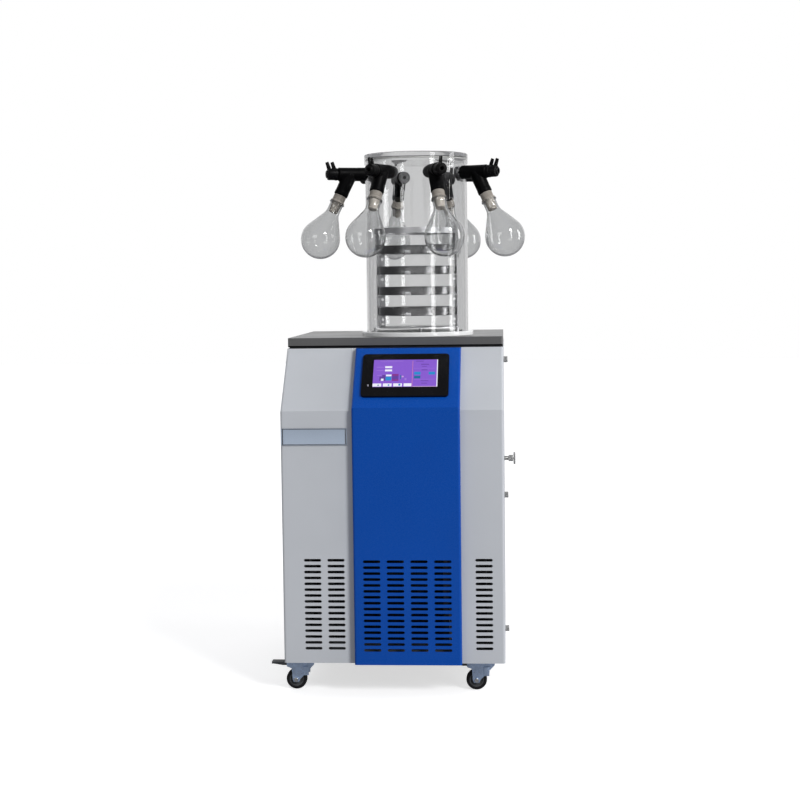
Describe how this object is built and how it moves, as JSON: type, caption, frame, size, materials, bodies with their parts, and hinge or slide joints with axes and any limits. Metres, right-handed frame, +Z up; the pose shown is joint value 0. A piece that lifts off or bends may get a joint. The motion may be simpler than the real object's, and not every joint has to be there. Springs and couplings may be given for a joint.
{
  "type": "freeze dryer",
  "caption": "floor-standing laboratory freeze dryer: a castered cabinet with touch display and vents, and a clear drying chamber with trays and flask valves",
  "frame": {"origin": "on the floor under the middle of the overall box", "axes": "+Z up, -Y is the front, +X is the right side seen from the front"},
  "size_m": [0.6231, 0.714, 1.306],
  "materials": {
    "grey_paint": "satin light grey powder coat",
    "blue_paint": "satin blue powder coat",
    "worktop_coat": "satin mid grey with a darker edge",
    "frame_paint": "plain grey",
    "black_gloss": "gloss",
    "screen": "lit colour display",
    "black_plastic": "matt",
    "dark_plastic": "matt",
    "plate_metal": "pressed plate",
    "bright_metal": "bright nickel plate",
    "clear_rubber": "translucent silicone",
    "acrylic": "clear polished acrylic",
    "flask_glass": "clear borosilicate glass",
    "fitting_plastic": "matt",
    "black_rubber": "soft matt rubber",
    "beige_rubber": "matt silicone",
    "stainless": "brushed",
    "foam": "closed-cell foam",
    "copper": "copper tube",
    "fin_aluminium": "fins",
    "dark_paint": "black enamel",
    "hose": "clear hose",
    "zinc": "bluish bright zinc",
    "tyre": "black rubber"
  },
  "bodies": {
    "cabinet": {"left_cover": "grey_paint", "right_cover": "grey_paint", "back_panel": "grey_paint", "front_panel": "blue_paint", "worktop": "worktop_coat", "base_pan": "frame_paint", "inner_frame": "frame_paint", "display_bezel": "black_gloss", "display_screen": "screen", "controller": "black_plastic", "nameplate": "plate_metal", "thumb_screws": "bright_metal", "drain_valve": "bright_metal", "chamber_gaskets": "clear_rubber", "base_ring": "acrylic", "chamber_tube": "acrylic", "chamber_lid": "acrylic", "port_fittings": "fitting_plastic", "port_plugs": "black_rubber", "valve_bodies": "black_rubber", "flask_adapters": "beige_rubber", "cold_trap": "stainless", "trap_floor": "stainless", "trap_insulation": "foam", "evaporator_coil": "copper", "tray_rack": "stainless", "condenser": "fin_aluminium", "fan_shroud": "dark_paint", "compressor": "dark_paint", "compressor_feet": "black_rubber", "suction_pipe": "copper", "vacuum_pipe": "stainless", "drain_pipe": "hose", "power_inlet": "black_plastic", "caster_mounts": "zinc", "tray_1": "stainless", "tray_2": "stainless", "tray_3": "stainless", "tray_4": "stainless", "flask_1": "flask_glass", "flask_2": "flask_glass", "flask_3": "flask_glass", "flask_4": "flask_glass", "flask_5": "flask_glass", "flask_6": "flask_glass"},
    "drain_handle": {"drain_handle": "bright_metal"},
    "fan": {"fan_rotor": "black_plastic"},
    "power_rocker": {"power_switch": "black_plastic"},
    "knob_1": {"valve_knob_1": "black_plastic"},
    "knob_2": {"valve_knob_2": "black_plastic"},
    "knob_3": {"valve_knob_3": "black_plastic"},
    "knob_4": {"valve_knob_4": "black_plastic"},
    "knob_5": {"valve_knob_5": "black_plastic"},
    "knob_6": {"valve_knob_6": "black_plastic"},
    "caster_front_left": {"fork_front_left": "zinc"},
    "roller_front_left": {"wheel_front_left": "tyre"},
    "brake_front_left": {"pedal_front_left": "dark_plastic"},
    "caster_rear_left": {"fork_rear_left": "zinc"},
    "roller_rear_left": {"wheel_rear_left": "tyre"},
    "brake_rear_left": {"pedal_rear_left": "dark_plastic"},
    "caster_front_right": {"fork_front_right": "zinc"},
    "roller_front_right": {"wheel_front_right": "tyre"},
    "brake_front_right": {"pedal_front_right": "dark_plastic"},
    "caster_rear_right": {"fork_rear_right": "zinc"},
    "roller_rear_right": {"wheel_rear_right": "tyre"},
    "brake_rear_right": {"pedal_rear_right": "dark_plastic"}
  },
  "joints": [
    {"name": "drain_turn", "type": "hinge", "parent": "cabinet", "child": "drain_handle", "pos_m": [0.2785, -0.157, 0.549], "axis": [1, 0, 0], "range_deg": [0, 90]},
    {"name": "fan_spin", "type": "hinge", "parent": "cabinet", "child": "fan", "pos_m": [-0.0385, -0.037, 0.1945], "axis": [0, 1, 0], "continuous": true},
    {"name": "rocker_tilt", "type": "hinge", "parent": "cabinet", "child": "power_rocker", "pos_m": [-0.1785, 0.338, 0.3165], "axis": [1, 0, 0], "range_deg": [-7, 7]},
    {"name": "knob_turn_1", "type": "hinge", "parent": "cabinet", "child": "knob_1", "pos_m": [-0.03061, 0.18659, 1.256], "axis": [-0.3214, 0.9469, 0], "range_deg": [0, 90]},
    {"name": "knob_turn_2", "type": "hinge", "parent": "cabinet", "child": "knob_2", "pos_m": [-0.16509, -0.08611, 1.256], "axis": [-0.9469, -0.3214, 0], "range_deg": [0, 90]},
    {"name": "knob_turn_3", "type": "hinge", "parent": "cabinet", "child": "knob_3", "pos_m": [-0.05659, -0.20983, 1.256], "axis": [-0.4423, -0.8969, 0], "range_deg": [0, 90]},
    {"name": "knob_turn_4", "type": "hinge", "parent": "cabinet", "child": "knob_4", "pos_m": [0.10761, -0.22059, 1.256], "axis": [0.3214, -0.9469, 0], "range_deg": [0, 90]},
    {"name": "knob_turn_5", "type": "hinge", "parent": "cabinet", "child": "knob_5", "pos_m": [0.23133, -0.11209, 1.256], "axis": [0.8969, -0.4423, 0], "range_deg": [0, 90]},
    {"name": "knob_turn_6", "type": "hinge", "parent": "cabinet", "child": "knob_6", "pos_m": [0.13359, 0.17583, 1.256], "axis": [0.4423, 0.8969, 0], "range_deg": [0, 90]},
    {"name": "swivel_front_left", "type": "hinge", "parent": "cabinet", "child": "caster_front_left", "pos_m": [-0.2275, -0.277, 0.068], "axis": [0, 0, 1], "continuous": true},
    {"name": "roll_front_left", "type": "hinge", "parent": "caster_front_left", "child": "roller_front_left", "pos_m": [-0.2515, -0.277, 0.025], "axis": [0, 1, 0], "continuous": true},
    {"name": "brake_press_front_left", "type": "hinge", "parent": "caster_front_left", "child": "brake_front_left", "pos_m": [-0.2695, -0.277, 0.062], "axis": [0, 1, 0], "range_deg": [-16, 0]},
    {"name": "swivel_rear_left", "type": "hinge", "parent": "cabinet", "child": "caster_rear_left", "pos_m": [-0.2275, 0.279, 0.068], "axis": [0, 0, 1], "continuous": true},
    {"name": "roll_rear_left", "type": "hinge", "parent": "caster_rear_left", "child": "roller_rear_left", "pos_m": [-0.2515, 0.279, 0.025], "axis": [0, 1, 0], "continuous": true},
    {"name": "brake_press_rear_left", "type": "hinge", "parent": "caster_rear_left", "child": "brake_rear_left", "pos_m": [-0.2695, 0.279, 0.062], "axis": [0, 1, 0], "range_deg": [-16, 0]},
    {"name": "swivel_front_right", "type": "hinge", "parent": "cabinet", "child": "caster_front_right", "pos_m": [0.2105, -0.277, 0.068], "axis": [0, 0, 1], "continuous": true},
    {"name": "roll_front_right", "type": "hinge", "parent": "caster_front_right", "child": "roller_front_right", "pos_m": [0.1865, -0.277, 0.025], "axis": [0, 1, 0], "continuous": true},
    {"name": "brake_press_front_right", "type": "hinge", "parent": "caster_front_right", "child": "brake_front_right", "pos_m": [0.1685, -0.277, 0.062], "axis": [0, 1, 0], "range_deg": [-16, 0]},
    {"name": "swivel_rear_right", "type": "hinge", "parent": "cabinet", "child": "caster_rear_right", "pos_m": [0.2105, 0.279, 0.068], "axis": [0, 0, 1], "continuous": true},
    {"name": "roll_rear_right", "type": "hinge", "parent": "caster_rear_right", "child": "roller_rear_right", "pos_m": [0.1865, 0.279, 0.025], "axis": [0, 1, 0], "continuous": true},
    {"name": "brake_press_rear_right", "type": "hinge", "parent": "caster_rear_right", "child": "brake_rear_right", "pos_m": [0.1685, 0.279, 0.062], "axis": [0, 1, 0], "range_deg": [-16, 0]}
  ]
}
